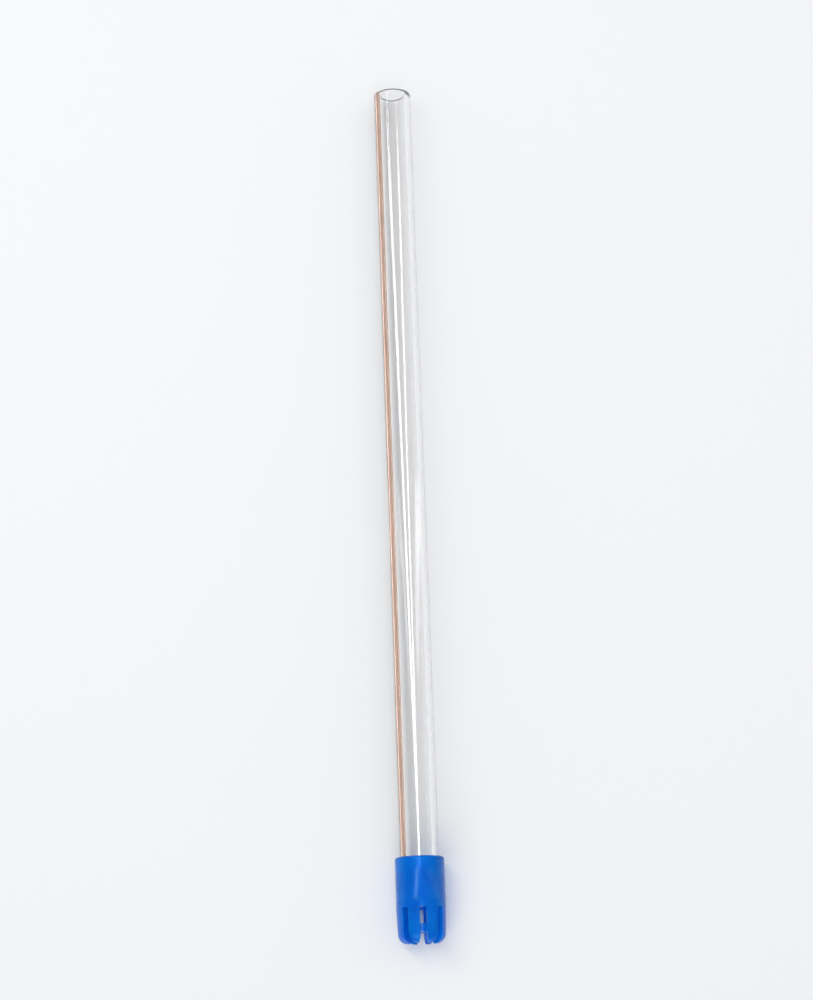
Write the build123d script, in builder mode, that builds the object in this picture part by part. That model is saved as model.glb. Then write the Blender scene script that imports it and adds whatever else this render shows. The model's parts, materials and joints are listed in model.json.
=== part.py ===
from build123d import *
import math
import os

# A disposable saliva ejector: a clear, flexible tube that is stiffened by a metal wire inside
# its wall, with a soft slotted tip bonded over one end. All sizes are in millimetres.
#
# The tube lies along the Y axis. Its open end, which goes into the suction valve, is at the
# origin, and the tip points along -Y. Up is +Z.
#
# The tube and its wire bend anywhere along their flexible length. They are divided into short
# links that turn about pivots on the tube's axis. Each link ends in a ball-shaped face that is
# centred on its pivot, and the next link starts in a hollow ball face around it, so the links
# turn without cutting into each other and the bore stays open.

# Whole ejector
total_length = 150.0

# Tube
tube_diameter = 6.5
tube_bore = 4.4

# Wire in the tube's wall
wire_diameter = 0.8
wire_angle = 160.0  # degrees round the tube, from +X towards +Z
wire_clearance = 0.02  # between the wire and its channel, all round

# Links
joint_count = 28
joint_pitch = 4.1
tip_joint_margin = 5.0  # from the tip's collar to the nearest pivot
ball_radius = 3.6  # ball face at the end of a link
ball_gap = 0.1  # between a ball face and the hollow face around it
rim_width = 0.2  # flat rim of the hollow face, in place of a sharp edge

# Tip
tip_length = 14.0
tip_diameter = 8.2
tip_end_diameter = 7.8  # the slotted part narrows a little towards its end
tube_insertion = 7.0  # how far the tube goes into the collar
collar_clearance = 0.02  # between the tube and the collar, all round
collar_edge_radius = 0.3
chamber_diameter = 5.7
strainer_start = 10.9  # from the collar's rim to the strainer disc
strainer_thickness = 1.3
strainer_hole = 1.6
end_bore = 4.0  # open well in the end of the tip, past the strainer disc
end_outer_radius = 1.5
end_inner_radius = 0.35
slot_count = 8
slot_width = 1.15
slot_turn = 41.0  # degrees from +X towards +Z to the first slot
slot_start = 8.3  # from the collar's rim
slot_floor_radius = 2.75  # how deep the slots go beside the strainer disc

# Worked out from the sizes above
tube_radius = tube_diameter / 2
bore_radius = tube_bore / 2
wire_radius = wire_diameter / 2
wire_offset = (tube_radius + bore_radius) / 2
wire_x = wire_offset * math.cos(math.radians(wire_angle))
wire_z = wire_offset * math.sin(math.radians(wire_angle))
collar_rim_y = tip_length - total_length
tube_end_y = collar_rim_y - tube_insertion
last_pivot_y = collar_rim_y + tip_joint_margin
first_pivot_y = last_pivot_y + (joint_count - 1) * joint_pitch
pivots = [first_pivot_y - i * joint_pitch for i in range(joint_count)]


def on_ball(pivot, radius, r):
    """The point of a ball's section at distance r from the tube's axis, on the tip's side."""
    return (r, pivot - math.sqrt(radius**2 - r**2))


def ball_face(pivot):
    """Draws the section of a link's ball end, from the bore to the outside of the tube."""
    inner, middle, outer = [
        on_ball(pivot, ball_radius, r) for r in (bore_radius, wire_offset, tube_radius)
    ]
    ThreePointArc(inner, middle, outer)
    return inner, outer


def hollow_face(pivot):
    """Draws the section of a link's hollow end: the face around the ball, and a flat rim."""
    rim_radius = tube_radius - rim_width
    inner, middle, rim = [
        on_ball(pivot, ball_radius + ball_gap, r) for r in (bore_radius, wire_offset, rim_radius)
    ]
    outer = (tube_radius, rim[1])
    ThreePointArc(inner, middle, rim)
    Line(rim, outer)
    return inner, outer


def flat_face(y):
    """Draws the section of a square-cut end of the tube."""
    inner = (bore_radius, y)
    outer = (tube_radius, y)
    Line(inner, outer)
    return inner, outer


def link_section(index):
    """Draws half the section of a link: two end faces, joined by the bore and the outside."""
    if index == 0:
        start_inner, start_outer = flat_face(0)
    else:
        start_inner, start_outer = hollow_face(pivots[index - 1])
    if index == joint_count:
        end_inner, end_outer = flat_face(tube_end_y)
    else:
        end_inner, end_outer = ball_face(pivots[index])
    Line(start_inner, end_inner)
    Line(start_outer, end_outer)


def link_name(index):
    """Names the end links for what they are and numbers the others from the suction end."""
    if index == 0:
        return "suction_end"
    if index == joint_count:
        return "tip_end"
    return f"link_{index + 1:02d}"


def save(part, name):
    part.label = name
    export_step(part, f"parts/{name}.step")


def make_tube_link(index):
    """One link of the tube, with the channel that the wire lies in."""
    with BuildPart() as tube_link:
        with BuildSketch(Plane.XY):
            with BuildLine():
                link_section(index)
            make_face()
        revolve(axis=Axis.Y)
        with BuildSketch(Plane.XZ):
            with Locations((wire_x, wire_z)):
                Circle(wire_radius + wire_clearance)
        extrude(amount=total_length, mode=Mode.SUBTRACT)
    save(tube_link.part, f"tube_{link_name(index)}")


def make_wire_link(index):
    """The length of wire inside one link of the tube, cut to the same end faces."""
    with BuildPart() as wire_link:
        with BuildSketch(Plane.XZ):
            with Locations((wire_x, wire_z)):
                Circle(wire_radius)
        extrude(amount=total_length)
        with BuildSketch(Plane.XY):
            with BuildLine():
                link_section(index)
            make_face()
        revolve(axis=Axis.Y, mode=Mode.INTERSECT)
    save(wire_link.part, f"wire_{link_name(index)}")


def tip_section():
    """Draws half the section of the tip's body: the collar, the chamber and the rounded end."""
    outer = tip_diameter / 2
    seat = tube_radius + collar_clearance
    chamber = chamber_diameter / 2
    well = end_bore / 2
    strainer_y = collar_rim_y - strainer_start
    well_y = strainer_y - strainer_thickness
    tip_y = -total_length
    Polyline(
        (outer, collar_rim_y),
        (seat, collar_rim_y),
        (seat, tube_end_y),
        (chamber, tube_end_y),
        (chamber, strainer_y),
        (0, strainer_y),
        (0, well_y),
        (well, well_y),
        (well, tip_y),
        (tip_end_diameter / 2, tip_y),
        (outer, collar_rim_y - slot_start),
        close=True,
    )


def make_tip():
    """The soft tip: a collar over the tube, and fingers that a strainer disc holds apart."""
    with BuildPart() as tip:
        with BuildSketch(Plane.XY) as section:
            with BuildLine():
                tip_section()
            make_face()
            end_corners = section.vertices().group_by(Axis.Y)[0].sort_by(Axis.X)
            fillet(end_corners[-1], end_outer_radius)
            well_corner = section.vertices().group_by(Axis.Y)[0].sort_by(Axis.X)[0]
            fillet(well_corner, end_inner_radius)
            rim_corner = section.vertices().group_by(Axis.Y)[-1].sort_by(Axis.X)[-1]
            fillet(rim_corner, collar_edge_radius)
        revolve(axis=Axis.Y)
        with BuildSketch(Plane.XZ.offset(-collar_rim_y + slot_start)):
            with PolarLocations(slot_floor_radius, slot_count, slot_turn):
                Rectangle(tip_diameter, slot_width, align=(Align.MIN, Align.CENTER))
        extrude(amount=tip_length, mode=Mode.SUBTRACT)
        well_depth = strainer_start + strainer_thickness
        with BuildSketch(Plane.XZ.offset(-collar_rim_y + well_depth)):
            with PolarLocations(0, slot_count, slot_turn):
                Rectangle(tip_diameter, slot_width, align=(Align.MIN, Align.CENTER))
        extrude(amount=tip_length, mode=Mode.SUBTRACT)
        with BuildSketch(Plane.XZ):
            Circle(strainer_hole / 2)
        extrude(amount=2 * total_length, mode=Mode.SUBTRACT)
    save(tip.part, "slotted_tip")


os.makedirs("parts", exist_ok=True)
for link in range(joint_count + 1):
    make_tube_link(link)
    make_wire_link(link)
make_tip()
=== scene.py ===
import json
import math

import bmesh
import bpy
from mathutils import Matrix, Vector

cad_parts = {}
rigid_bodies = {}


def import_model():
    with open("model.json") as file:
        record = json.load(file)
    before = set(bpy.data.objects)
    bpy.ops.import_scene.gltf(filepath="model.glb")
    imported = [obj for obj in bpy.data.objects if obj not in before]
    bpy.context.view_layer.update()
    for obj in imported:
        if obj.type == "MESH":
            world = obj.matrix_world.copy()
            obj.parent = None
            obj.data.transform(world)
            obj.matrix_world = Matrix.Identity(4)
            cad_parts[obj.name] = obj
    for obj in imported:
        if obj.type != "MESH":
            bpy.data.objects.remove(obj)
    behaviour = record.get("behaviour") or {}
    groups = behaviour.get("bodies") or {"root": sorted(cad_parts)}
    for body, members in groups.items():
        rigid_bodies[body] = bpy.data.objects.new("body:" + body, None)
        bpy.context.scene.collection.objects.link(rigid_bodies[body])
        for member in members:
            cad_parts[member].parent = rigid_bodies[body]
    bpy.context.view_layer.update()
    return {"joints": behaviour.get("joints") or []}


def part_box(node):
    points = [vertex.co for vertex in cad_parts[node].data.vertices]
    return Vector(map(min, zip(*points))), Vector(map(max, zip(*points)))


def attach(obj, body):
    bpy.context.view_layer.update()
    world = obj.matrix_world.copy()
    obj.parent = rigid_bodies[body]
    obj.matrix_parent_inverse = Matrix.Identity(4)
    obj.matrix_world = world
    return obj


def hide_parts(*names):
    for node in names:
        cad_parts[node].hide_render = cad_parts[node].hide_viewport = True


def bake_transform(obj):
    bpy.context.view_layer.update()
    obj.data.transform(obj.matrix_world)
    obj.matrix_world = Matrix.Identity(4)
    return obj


# A disposable saliva ejector on a pale table. Lengths are in metres, in the frame of the CAD.
# The clear tube and its wire are one piece per joint.

MM = 0.001

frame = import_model()


def node_box(name):
    low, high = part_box(name)
    return Vector(low), Vector(high)


# Sizes read from the CAD nodes
tube_low, tube_high = node_box("tube_suction_end")
wire_low, wire_high = node_box("wire_suction_end")
tip_low, tip_high = node_box("slotted_tip")
tube_end_low, _ = node_box("tube_tip_end")
joints = sorted(frame["joints"], key=lambda joint: -joint["pos_m"][1])
pivots = [joint["pos_m"][1] for joint in joints]
pitch = pivots[0] - pivots[1]

TUBE_RADIUS = (tube_high.x - tube_low.x) / 2
SUCTION_Y = tube_high.y
TUBE_END_Y = tube_end_low.y
WIRE_RADIUS = (wire_high.x - wire_low.x) / 2
WIRE_X = (wire_high.x + wire_low.x) / 2
WIRE_Z = (wire_high.z + wire_low.z) / 2
TIP_RADIUS = (tip_high.x - tip_low.x) / 2
COLLAR_Y = tip_high.y
TIP_END_Y = tip_low.y
MIDDLE = Vector((0, (SUCTION_Y + TIP_END_Y) / 2, 0))

# Sizes of the tube and the wire that the boxes don't show
BORE_RADIUS = 2.2 * MM
CUT_EDGE = 0.15 * MM  # rounding of the tube's cut ends
WIRE_PROUD = 0.03 * MM  # how far the wire stands out of the tube's open end, so that it shows there
WIRE_END_RADIUS = 0.85 * WIRE_RADIUS  # the flat part of the wire's ends
RING_STEP = 0.4 * MM  # between the rings of points along the tube and the wire
TUBE_SEGMENTS = 72
WIRE_SEGMENTS = 24

# Sizes of the tip that the boxes don't show
SEAT_RADIUS = TUBE_RADIUS + 0.02 * MM  # inside of the collar, just clear of the tube
CHAMBER_RADIUS = 2.85 * MM
RIM_ROUNDING = 0.3 * MM
RIM_LAND = 0.1 * MM  # a plain band between the rounded rim and the first ring
SLOT_TOP_Y = COLLAR_Y - 8.3 * MM
STRAINER_TOP_Y = COLLAR_Y - 10.9 * MM
STRAINER_BOTTOM_Y = COLLAR_Y - 12.2 * MM
STRAINER_HOLE_RADIUS = 0.8 * MM
WELL_RADIUS = 2.0 * MM
END_RADIUS = 3.9 * MM  # the slotted part narrows to this
END_OUTER_ROUNDING = 1.5 * MM
END_INNER_ROUNDING = 0.35 * MM
LOBE_DEPTH = 1.1 * MM  # the fingers' corners round off over this distance from the end
LOBE_SHARE = 0.55  # of a finger's width, lost at its very end
SLOT_COUNT = 8
SLOT_TURN = 41.0  # degrees from +X towards +Z to a slot
SLOT_HALF_WIDTH = 0.575 * MM
MOULD_EDGE = 0.1 * MM  # rounding of the moulded edges
RING_PLACES = (0.75 * MM, 1.1 * MM, 1.45 * MM, 1.95 * MM)  # fine grooves, measured from the collar's rim
RING_DEPTH = 0.01 * MM
RING_WIDTH = 0.06 * MM  # to each side of a groove's bottom
SEAM_HEIGHT = 0.025 * MM  # raised line round the tip where the tube ends inside
FINGER_STEPS = 8  # faces round a finger
SLOT_STEPS = 4  # faces round the gap between two fingers
WALL_STEPS = 5  # faces through the wall
ROW_STEP = 0.5 * MM  # between rows of points along a finger
PLATE_STEP = 0.35 * MM  # between rings of points on the strainer disc
WELD_DISTANCE = 0.002 * MM


# ---------------------------------------------------------------- meshes

def spaced(start, end, step):
    """Evenly spaced numbers from start to end, no further apart than step."""
    count = max(1, math.ceil(abs(end - start) / step))
    return [start + (end - start) * i / count for i in range(count + 1)]


def arc(centre_r, centre_y, radius, from_deg, to_deg, steps):
    """Points (r, y) of an arc in the section of a turned shape."""
    points = []
    for i in range(steps + 1):
        a = math.radians(from_deg + (to_deg - from_deg) * i / steps)
        points.append((centre_r + radius * math.cos(a), centre_y + radius * math.sin(a)))
    return points


def mesh_object(name, vertices, faces):
    mesh = bpy.data.meshes.new(name)
    mesh.from_pydata(vertices, [], faces)
    mesh.polygons.foreach_set("use_smooth", [True] * len(faces))
    obj = bpy.data.objects.new(name, mesh)
    bpy.context.scene.collection.objects.link(obj)
    return obj


def keep_rest_place(obj):
    """Stores each point's place at rest, so that a pattern stays put when the piece bends."""
    place = obj.data.attributes.new("rest_place", "FLOAT_VECTOR", "POINT")
    values = [c for v in obj.data.vertices for c in v.co]
    place.data.foreach_set("vector", values)


def turned(name, sections, segments, centre_x=0.0, centre_z=0.0):
    """A turned surface about an axis along Y, from open sections of (r, y) points."""
    vertices, faces = [], []
    for section in sections:
        rings = []
        for r, y in section:
            count = segments if r > 0 else 1
            first = len(vertices)
            for k in range(count):
                a = 2 * math.pi * k / segments
                vertices.append((centre_x + r * math.cos(a), y, centre_z + r * math.sin(a)))
            rings.append([first + k % count for k in range(segments + 1)])
        for upper, lower in zip(rings, rings[1:]):
            for k in range(segments):
                corners = (upper[k], upper[k + 1], lower[k + 1], lower[k])
                faces.append(tuple(dict.fromkeys(corners)))  # a triangle where a ring is one point
    return mesh_object(name, vertices, faces)


def wall_between(from_y, to_y):
    """Sections of the tube's wall along one stretch: the outside, then the bore."""
    steps = spaced(from_y, to_y, RING_STEP)
    outside = [(TUBE_RADIUS, y) for y in steps]
    bore = [(BORE_RADIUS, y) for y in reversed(steps)]
    return outside, bore


def cut_end(y, inwards):
    """Section of a square-cut end from the bore to the outside, with its edges just broken.

    inwards is +1 or -1, the way along Y that leads into the tube.
    """
    edge_y = y + inwards * CUT_EDGE
    bore_edge = arc(BORE_RADIUS + CUT_EDGE, edge_y, CUT_EDGE, 180, 180 + 90 * inwards, 4)
    outer_edge = arc(TUBE_RADIUS - CUT_EDGE, edge_y, CUT_EDGE, -90 * inwards, 0, 4)
    return bore_edge + outer_edge


def tube_wall(index, from_y, to_y):
    """One stretch of the clear tube, with a closed end where the tube is cut.

    The faces of a cut end take the piece's second material.
    """
    outside, bore = wall_between(from_y, to_y)
    sections = [outside, bore]
    if index == 0:
        sections = [bore[:-1] + cut_end(from_y, -1) + outside[1:]]
    if index == len(joints) - 1:
        sections = [outside[:-1] + list(reversed(cut_end(to_y, 1))) + bore[1:]]
    wall = turned(f"tube_wall_{index + 1:02d}", sections, TUBE_SEGMENTS)
    for face in wall.data.polygons:
        radii = [math.hypot(*wall.data.vertices[v].co.xz) for v in face.vertices]
        if max(radii) - min(radii) > CUT_EDGE:
            face.material_index = 1
    return wall


def wire_length(index, from_y, to_y):
    """One stretch of the wire, with a cut end where the tube is cut."""
    steps = spaced(from_y, to_y, RING_STEP)
    section = [(WIRE_RADIUS, y) for y in steps]
    if index == 0:
        section = [(0.0, from_y), (WIRE_END_RADIUS, from_y)] + section[1:]
    if index == len(joints) - 1:
        section = section[:-1] + [(WIRE_END_RADIUS, to_y), (0.0, to_y)]
    return turned(f"wire_{index + 1:02d}", [section], WIRE_SEGMENTS, WIRE_X, WIRE_Z)


def slot_angle(r):
    """Half the angle that a slot of constant width takes up at radius r."""
    return math.asin(SLOT_HALF_WIDTH / max(r, WELL_RADIUS))


def finger_angles(r):
    half = math.pi / SLOT_COUNT - slot_angle(r)
    return [half * (2 * i / FINGER_STEPS - 1) for i in range(FINGER_STEPS + 1)]


def slot_angles(r):
    half = slot_angle(r)
    middle = math.pi / SLOT_COUNT
    return [middle + half * (2 * i / SLOT_STEPS - 1) for i in range(SLOT_STEPS + 1)]


def narrowed(angle, y):
    """An angle from the middle of a finger, drawn in near the finger's end to round its corners."""
    near_end = 1.0 - (y - TIP_END_Y) / LOBE_DEPTH
    if near_end <= 0:
        return angle
    return angle * (1.0 - LOBE_SHARE * (1.0 - math.sqrt(max(0.0, 1.0 - near_end**2))))


def polar(r, angle, y):
    angle = narrowed(angle, y)
    return (r * math.cos(angle), y, r * math.sin(angle))


def finger_outer_radius(y):
    """Outside of a finger, which narrows from the collar and rounds over at its end."""
    share = (SLOT_TOP_Y - y) / (SLOT_TOP_Y - TIP_END_Y)
    side = TIP_RADIUS + share * (END_RADIUS - TIP_RADIUS)
    depth = TIP_END_Y + END_OUTER_ROUNDING - y
    if depth <= 0:
        return side
    return side - END_OUTER_ROUNDING + math.sqrt(max(0.0, END_OUTER_ROUNDING**2 - depth**2))


def finger_inner_radius(y):
    """Inside of a finger past the strainer, which flares a little at its end."""
    depth = TIP_END_Y + END_INNER_ROUNDING - y
    if depth <= 0:
        return WELL_RADIUS
    return WELL_RADIUS + END_INNER_ROUNDING - math.sqrt(max(0.0, END_INNER_ROUNDING**2 - depth**2))


def collar_outside():
    """Outside of the collar below its rim: fine moulding rings, and the line round the tube's end."""
    points = [(TIP_RADIUS, COLLAR_Y - RIM_ROUNDING - RIM_LAND)]
    rings = [(COLLAR_Y - place, -RING_DEPTH) for place in RING_PLACES]
    rings.append((TUBE_END_Y, SEAM_HEIGHT))
    for y, height in rings:
        points += [(TIP_RADIUS, y + RING_WIDTH), (TIP_RADIUS + height, y), (TIP_RADIUS, y - RING_WIDTH)]
    points.append((TIP_RADIUS, SLOT_TOP_Y))
    return points


def tip_patches():
    """The surface patches of one eighth of the tip: a finger and the slot beside it."""
    # The collar, from the end of its seat, over its rim and down to the slots
    rim = arc(TIP_RADIUS - RIM_ROUNDING, COLLAR_Y - RIM_ROUNDING, RIM_ROUNDING, 90, 0, 5)
    shoulder = [(CHAMBER_RADIUS, SLOT_TOP_Y), (CHAMBER_RADIUS, TUBE_END_Y)]
    seat = [(SEAT_RADIUS, y) for y in spaced(TUBE_END_Y, COLLAR_Y, MM)]
    collar = shoulder + seat + rim + collar_outside()

    # The heights of a finger, from the slots' top to its end
    upper = spaced(SLOT_TOP_Y, STRAINER_TOP_Y, ROW_STEP)
    middle = spaced(STRAINER_TOP_Y, STRAINER_BOTTOM_Y, ROW_STEP)
    turns = [math.sin(math.radians(a)) for a in range(0, 91, 10)]
    lower_start = TIP_END_Y + END_OUTER_ROUNDING
    lower = [STRAINER_BOTTOM_Y]
    lower += [y for y in (lower_start - END_OUTER_ROUNDING * t for t in turns) if y < STRAINER_BOTTOM_Y]

    # Radial steps across a finger's side, which meet the strainer's rim
    body_shares = [i / WALL_STEPS for i in range(WALL_STEPS + 1)]
    root = spaced(WELL_RADIUS, CHAMBER_RADIUS, (CHAMBER_RADIUS - WELL_RADIUS) / 3)

    def body_at(y):
        """Radii across the wall, from the chamber to the outside."""
        thickness = finger_outer_radius(y) - CHAMBER_RADIUS
        return [CHAMBER_RADIUS + share * thickness for share in body_shares]

    across = root + body_at(STRAINER_BOTTOM_Y)[1:]
    shares = [(r - WELL_RADIUS) / (across[-1] - WELL_RADIUS) for r in across]

    def radii_at(y):
        """Radii across a finger, from the well to the outside."""
        inner, outer = finger_inner_radius(y), finger_outer_radius(y)
        return [inner + share * (outer - inner) for share in shares]

    patches = []
    for angles in (finger_angles, slot_angles):
        patches.append([[polar(r, a, y) for a in angles(r)] for r, y in collar])
    patches.append([[polar(r, a, SLOT_TOP_Y) for a in slot_angles(r)] for r in body_at(SLOT_TOP_Y)])

    finger_heights = upper + middle[1:] + lower[1:]
    outer_line = [(finger_outer_radius(y), y) for y in finger_heights]
    inner_line = [(finger_inner_radius(y), y) for y in lower]
    chamber_line = [(CHAMBER_RADIUS, y) for y in upper]
    end_line = [(r, TIP_END_Y) for r in radii_at(TIP_END_Y)]
    for line in (outer_line, inner_line, chamber_line, end_line):
        patches.append([[polar(r, a, y) for a in finger_angles(r)] for r, y in line])

    for side in (0, -1):
        for heights in (upper, middle):
            patches.append([[polar(r, finger_angles(r)[side], y) for r in body_at(y)] for y in heights])
        rows = [[polar(r, finger_angles(r)[side], y) for r in radii_at(y)] for y in lower]
        patches.append(rows)

    # The strainer disc: both faces, the hole through it and its rim in the slot
    plate = spaced(STRAINER_HOLE_RADIUS, WELL_RADIUS, PLATE_STEP)
    disc = plate + root[1:]
    hole_line = [(STRAINER_HOLE_RADIUS, y) for y in middle]
    for angles in (finger_angles, slot_angles):
        patches.append([[polar(r, a, STRAINER_TOP_Y) for a in angles(r)] for r in disc])
        patches.append([[polar(r, a, y) for a in angles(r)] for r, y in hole_line])
    patches.append([[polar(r, a, STRAINER_BOTTOM_Y) for a in finger_angles(r)] for r in plate])
    patches.append([[polar(r, a, STRAINER_BOTTOM_Y) for a in slot_angles(r)] for r in disc])
    rim_line = [(CHAMBER_RADIUS, y) for y in middle]
    patches.append([[polar(r, a, y) for a in slot_angles(r)] for r, y in rim_line])
    return patches


def make_tip():
    """The slotted tip, welded from eight turns of the same patches, with moulded edges."""
    shape = bmesh.new()
    first = math.radians(SLOT_TURN) - math.pi / SLOT_COUNT
    for turn in range(SLOT_COUNT):
        angle = first + 2 * math.pi * turn / SLOT_COUNT
        cos_a, sin_a = math.cos(angle), math.sin(angle)
        for patch in tip_patches():
            rows = [
                [shape.verts.new((x * cos_a - z * sin_a, y, x * sin_a + z * cos_a)) for x, y, z in row]
                for row in patch
            ]
            for upper, lower in zip(rows, rows[1:]):
                for i in range(len(upper) - 1):
                    shape.faces.new((upper[i], upper[i + 1], lower[i + 1], lower[i]))
    bmesh.ops.remove_doubles(shape, verts=shape.verts, dist=WELD_DISTANCE)
    bmesh.ops.recalc_face_normals(shape, faces=shape.faces)
    mesh = bpy.data.meshes.new("tip_body")
    shape.to_mesh(mesh)
    shape.free()
    mesh.polygons.foreach_set("use_smooth", [True] * len(mesh.polygons))
    tip = bpy.data.objects.new("tip_body", mesh)
    bpy.context.scene.collection.objects.link(tip)
    edges = tip.modifiers.new("moulded edges", "BEVEL")
    edges.width = MOULD_EDGE
    edges.segments = 3
    edges.limit_method = "ANGLE"
    edges.angle_limit = math.radians(40)
    edges.harden_normals = True
    return tip


# ---------------------------------------------------------------- materials

def shader_nodes(name):
    material = bpy.data.materials.new(name)
    material.use_nodes = True
    nodes, links = material.node_tree.nodes, material.node_tree.links
    nodes.clear()
    return material, nodes, links


def lets_lamps_through(nodes, links, surface, face_on, edge_on):
    """Lets lamps shine through a surface in place of a solid shadow, and less where they meet it edge-on."""
    path = nodes.new("ShaderNodeLightPath")
    slant = nodes.new("ShaderNodeLayerWeight")
    slant.inputs["Blend"].default_value = 0.5
    ramp = colour_ramp(nodes, links, slant.outputs["Facing"], [(0.5, face_on), (1.0, edge_on)])
    clear = nodes.new("ShaderNodeBsdfTransparent")
    links.new(ramp, clear.inputs["Color"])
    mix = nodes.new("ShaderNodeMixShader")
    output = nodes.new("ShaderNodeOutputMaterial")
    links.new(path.outputs["Is Shadow Ray"], mix.inputs[0])
    links.new(surface, mix.inputs[1])
    links.new(clear.outputs[0], mix.inputs[2])
    links.new(mix.outputs[0], output.inputs["Surface"])


def colour_ramp(nodes, links, value, stops):
    """A colour ramp over value. Stops are (position, colour) pairs."""
    node = nodes.new("ShaderNodeValToRGB")
    elements = node.color_ramp.elements
    for _ in stops[2:]:
        elements.new(0.5)
    for element, (position, colour) in zip(elements, stops):
        element.position = position
        element.color = (*colour, 1.0)
    links.new(value, node.inputs[0])
    return node.outputs["Color"]


def noise_over_piece(nodes, links, across, along, detail):
    """Noise fixed to the piece at rest, with its own scale across and along the tube."""
    place = nodes.new("ShaderNodeAttribute")
    place.attribute_name = "rest_place"
    stretch = nodes.new("ShaderNodeMapping")
    stretch.inputs["Scale"].default_value = (across, along, across)
    noise = nodes.new("ShaderNodeTexNoise")
    noise.inputs["Scale"].default_value = 1.0
    noise.inputs["Detail"].default_value = detail
    links.new(place.outputs["Vector"], stretch.inputs["Vector"])
    links.new(stretch.outputs["Vector"], noise.inputs["Vector"])
    return noise.outputs["Fac"]


def bumped(nodes, links, height, strength, distance, onto):
    bump = nodes.new("ShaderNodeBump")
    bump.inputs["Strength"].default_value = strength
    bump.inputs["Distance"].default_value = distance
    links.new(height, bump.inputs["Height"])
    links.new(bump.outputs["Normal"], onto)


def roughened(nodes, links, pattern, smooth, rough, onto):
    """Roughness that varies from smooth to rough with a pattern."""
    spread = nodes.new("ShaderNodeMapRange")
    spread.inputs["To Min"].default_value = smooth
    spread.inputs["To Max"].default_value = rough
    links.new(pattern, spread.inputs["Value"])
    links.new(spread.outputs["Result"], onto)


def clear_tube_material():
    """Clear soft PVC with the faint lengthwise lines of the extrusion die.

    It lets a little over all the light through face-on, as a round tube gathers light on what it lies on.
    """
    material, nodes, links = shader_nodes("clear_pvc")
    pvc = nodes.new("ShaderNodeBsdfPrincipled")
    pvc.inputs["Base Color"].default_value = (0.995, 0.995, 0.995, 1.0)
    pvc.inputs["Transmission Weight"].default_value = 1.0
    pvc.inputs["IOR"].default_value = 1.53
    cloud = noise_over_piece(nodes, links, 500.0, 120.0, 2.0)
    roughened(nodes, links, cloud, 0.02, 0.06, pvc.inputs["Roughness"])
    die_lines = noise_over_piece(nodes, links, 1600.0, 4.0, 2.0)
    bumped(nodes, links, die_lines, 0.08, 0.02 * MM, pvc.inputs["Normal"])
    lets_lamps_through(nodes, links, pvc.outputs[0], (1.07, 1.07, 1.07), (0.83, 0.83, 0.84))
    return material


def cut_face_material():
    """The tube's knife-cut ends, which are slightly frosted."""
    material, nodes, links = shader_nodes("cut_pvc")
    pvc = nodes.new("ShaderNodeBsdfPrincipled")
    pvc.inputs["Base Color"].default_value = (0.9, 0.91, 0.91, 1.0)
    pvc.inputs["Transmission Weight"].default_value = 0.25
    pvc.inputs["IOR"].default_value = 1.53
    marks = noise_over_piece(nodes, links, 1500.0, 1500.0, 3.0)
    roughened(nodes, links, marks, 0.25, 0.45, pvc.inputs["Roughness"])
    bumped(nodes, links, marks, 0.3, 0.03 * MM, pvc.inputs["Normal"])
    lets_lamps_through(nodes, links, pvc.outputs[0], (0.95, 0.95, 0.95), (0.7, 0.7, 0.7))
    return material


def wire_material():
    """Copper-washed drawn steel, with the wash thinner in places."""
    material, nodes, links = shader_nodes("copper_washed_wire")
    metal = nodes.new("ShaderNodeBsdfPrincipled")
    wash = noise_over_piece(nodes, links, 900.0, 160.0, 3.0)
    colour = colour_ramp(nodes, links, wash, [(0.3, (0.78, 0.51, 0.39)), (0.7, (0.95, 0.65, 0.51))])
    links.new(colour, metal.inputs["Base Color"])
    metal.inputs["Metallic"].default_value = 1.0
    roughened(nodes, links, wash, 0.42, 0.3, metal.inputs["Roughness"])
    draw_lines = noise_over_piece(nodes, links, 9000.0, 60.0, 2.0)
    bumped(nodes, links, draw_lines, 0.2, 0.01 * MM, metal.inputs["Normal"])
    output = nodes.new("ShaderNodeOutputMaterial")
    links.new(metal.outputs[0], output.inputs["Surface"])
    return material


def tip_material():
    """Translucent blue soft PVC with a satin moulded surface and a slightly uneven pigment."""
    material, nodes, links = shader_nodes("blue_pvc")
    plastic = nodes.new("ShaderNodeBsdfPrincipled")
    pigment = noise_over_piece(nodes, links, 350.0, 220.0, 3.0)
    colour = colour_ramp(nodes, links, pigment, [(0.3, (0.0, 0.17, 0.76)), (0.7, (0.0, 0.285, 0.95))])
    links.new(colour, plastic.inputs["Base Color"])
    plastic.inputs["Transmission Weight"].default_value = 0.5
    plastic.inputs["IOR"].default_value = 1.5
    plastic.inputs["Specular IOR Level"].default_value = 0.2
    plastic.inputs["Specular Tint"].default_value = (0.3, 0.62, 1.0, 1.0)
    plastic.inputs["Subsurface Weight"].default_value = 0.5
    plastic.inputs["Subsurface Radius"].default_value = (0.1, 0.5, 1.0)
    plastic.inputs["Subsurface Scale"].default_value = 1.2 * MM
    grain = noise_over_piece(nodes, links, 2500.0, 2500.0, 4.0)
    roughened(nodes, links, grain, 0.13, 0.24, plastic.inputs["Roughness"])
    bumped(nodes, links, grain, 0.06, 0.03 * MM, plastic.inputs["Normal"])
    lets_lamps_through(nodes, links, plastic.outputs[0], (0.6, 0.68, 0.82), (0.3, 0.36, 0.5))
    return material


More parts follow.
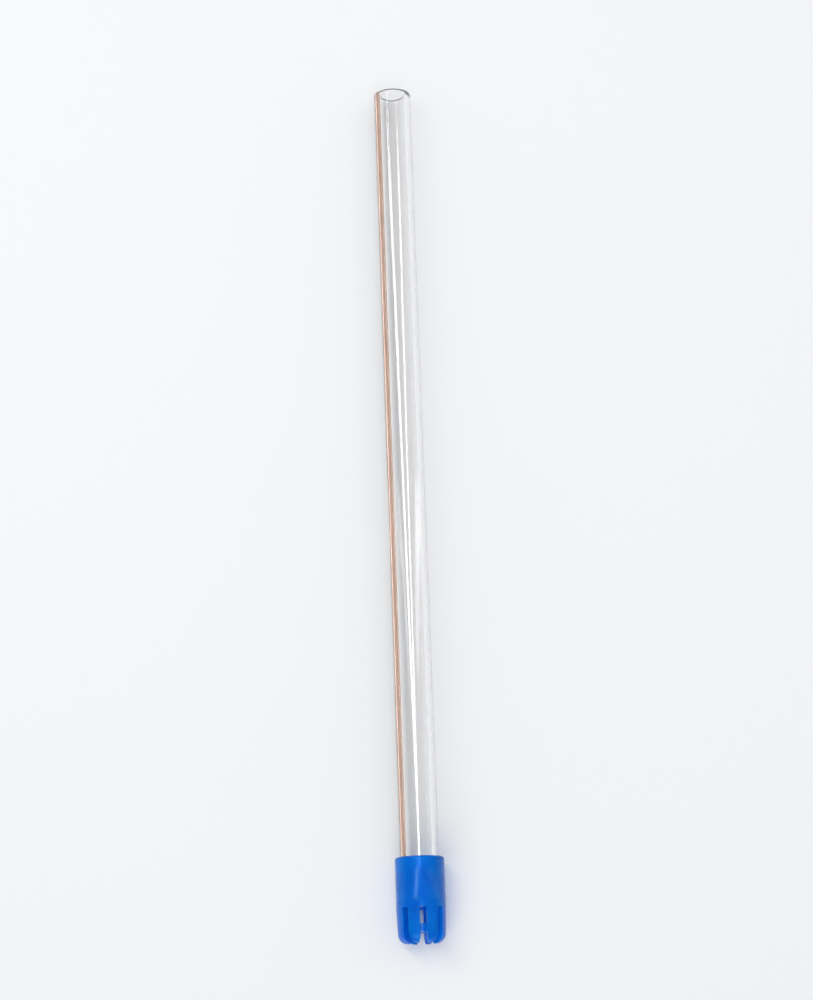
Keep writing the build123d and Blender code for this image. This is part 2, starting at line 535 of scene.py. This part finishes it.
def floor_material():
    material, nodes, links = shader_nodes("pale_table")
    surface = nodes.new("ShaderNodeBsdfPrincipled")
    surface.inputs["Base Color"].default_value = (0.88, 0.885, 0.895, 1.0)
    surface.inputs["Roughness"].default_value = 0.6
    surface.inputs["Specular IOR Level"].default_value = 0.3
    output = nodes.new("ShaderNodeOutputMaterial")
    links.new(surface.outputs[0], output.inputs["Surface"])
    return material


# ---------------------------------------------------------------- the ejector

def make_tube_and_wire():
    """One piece of tube and of wire for each joint, from the middle of a link to the next."""
    clear = clear_tube_material()
    cut_face = cut_face_material()
    metal = wire_material()
    last = len(joints) - 1
    for index, joint in enumerate(joints):
        from_y = SUCTION_Y if index == 0 else pivots[index] + pitch / 2
        to_y = TUBE_END_Y if index == last else pivots[index] - pitch / 2
        wire_from_y = SUCTION_Y + WIRE_PROUD if index == 0 else from_y
        tube_materials = [clear, cut_face] if index in (0, last) else [clear]
        pieces = {
            "tube": (tube_wall(index, from_y, to_y), tube_materials),
            "wire": (wire_length(index, wire_from_y, to_y), [metal]),
        }
        for kind, (piece, materials) in pieces.items():
            for material in materials:
                piece.data.materials.append(material)
            keep_rest_place(piece)
            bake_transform(piece)
            nodes = [f"{kind}_{joint['parent']}"]
            if index == last:
                nodes.append(f"{kind}_{joint['child']}")
            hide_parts(*nodes)


def place_tip():
    tip = make_tip()
    tip.data.materials.append(tip_material())
    keep_rest_place(tip)
    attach(tip, "tip_end")
    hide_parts("slotted_tip")


# ---------------------------------------------------------------- table, light and camera

FLOOR_SIZE = 4.0
# Name, place, width, length and watts of the area lamps: a strip nearly overhead, a low one on the right
# and a large soft one over all
LAMPS = [
    ("key", (-0.16, 0.06, 0.56), 0.06, 0.62, 1.25),
    ("side", (0.5, 0.05, 0.29), 0.03, 0.6, 0.18),
    ("top", (0.1, 0.12, 0.9), 0.9, 1.0, 0.65),
]
SUN_PLACE = (-0.3, -0.9, 0.9)
SUN_STRENGTH = 1.35
SUN_SPREAD = 50.0  # degrees across, so that it gives no hard shadow
# Height above the horizon and colour of the room: a pale backdrop, a dark band and a dim ceiling
ROOM = [(0.2, (0.64, 0.645, 0.655)), (0.3, (0.14, 0.14, 0.15)), (0.7, (0.4, 0.41, 0.42))]
CAMERA_ELEVATION = 75.5  # degrees above the table
CAMERA_AZIMUTH = -2.0  # degrees from straight in front, to the left when negative
CAMERA_LENS = 85.0
CAMERA_DISTANCE = 0.405


def make_floor():
    """The table, tilted a fraction of a degree so that the tube's end and the collar touch it."""
    mesh = bpy.data.meshes.new("table")
    slope = (TIP_RADIUS - TUBE_RADIUS) / (SUCTION_Y - COLLAR_Y)
    half = FLOOR_SIZE / 2

    def height(y):
        return -TUBE_RADIUS + slope * (y - SUCTION_Y)

    corners = [(-half, -half), (half, -half), (half, half), (-half, half)]
    mesh.from_pydata([(x, y, height(y)) for x, y in corners], [], [(0, 1, 2, 3)])
    table = bpy.data.objects.new("table", mesh)
    bpy.context.scene.collection.objects.link(table)
    mesh.materials.append(floor_material())


def aimed(obj, target):
    direction = target - obj.location
    obj.rotation_euler = direction.to_track_quat("-Z", "Y").to_euler()


def placed_light(lamp, place):
    """Puts a lamp in its place, aimed at the middle of the ejector."""
    obj = bpy.data.objects.new(lamp.name, lamp)
    obj.location = place
    bpy.context.scene.collection.objects.link(obj)
    aimed(obj, MIDDLE)


def area_light(name, place, width, length, watts):
    lamp = bpy.data.lights.new(name, "AREA")
    lamp.shape = "RECTANGLE"
    lamp.size = width
    lamp.size_y = length
    lamp.energy = watts
    placed_light(lamp, place)


def make_light():
    """The studio's lamps, a broad soft sun, and a dim room round them."""
    for name, place, width, length, watts in LAMPS:
        area_light(name, place, width, length, watts)
    sun = bpy.data.lights.new("soft_sun", "SUN")
    sun.energy = SUN_STRENGTH
    sun.angle = math.radians(SUN_SPREAD)
    placed_light(sun, SUN_PLACE)
    world = bpy.data.worlds.new("studio")
    bpy.context.scene.world = world
    world.use_nodes = True
    nodes, links = world.node_tree.nodes, world.node_tree.links
    nodes.clear()
    direction = nodes.new("ShaderNodeTexCoord")
    split = nodes.new("ShaderNodeSeparateXYZ")
    links.new(direction.outputs["Generated"], split.inputs[0])
    sky = colour_ramp(nodes, links, split.outputs["Z"], ROOM)
    background = nodes.new("ShaderNodeBackground")
    output = nodes.new("ShaderNodeOutputWorld")
    links.new(sky, background.inputs["Color"])
    links.new(background.outputs[0], output.inputs["Surface"])


def make_camera():
    """The camera, high above the table and a little to the left of the object's middle."""
    camera = bpy.data.cameras.new("camera")
    camera.lens = CAMERA_LENS
    camera.clip_start = 0.01
    obj = bpy.data.objects.new("camera", camera)
    elevation, azimuth = math.radians(CAMERA_ELEVATION), math.radians(CAMERA_AZIMUTH)
    away = Vector((
        math.sin(azimuth) * math.cos(elevation),
        -math.cos(azimuth) * math.cos(elevation),
        math.sin(elevation),
    ))
    obj.location = MIDDLE + away * CAMERA_DISTANCE
    bpy.context.scene.collection.objects.link(obj)
    aimed(obj, MIDDLE)
    bpy.context.scene.camera = obj


make_tube_and_wire()
place_tip()
make_floor()
make_light()
make_camera()
bpy.context.scene.view_settings.view_transform = "Standard"
bpy.context.scene.cycles.caustics_reflective = False
bpy.context.scene.cycles.caustics_refractive = False
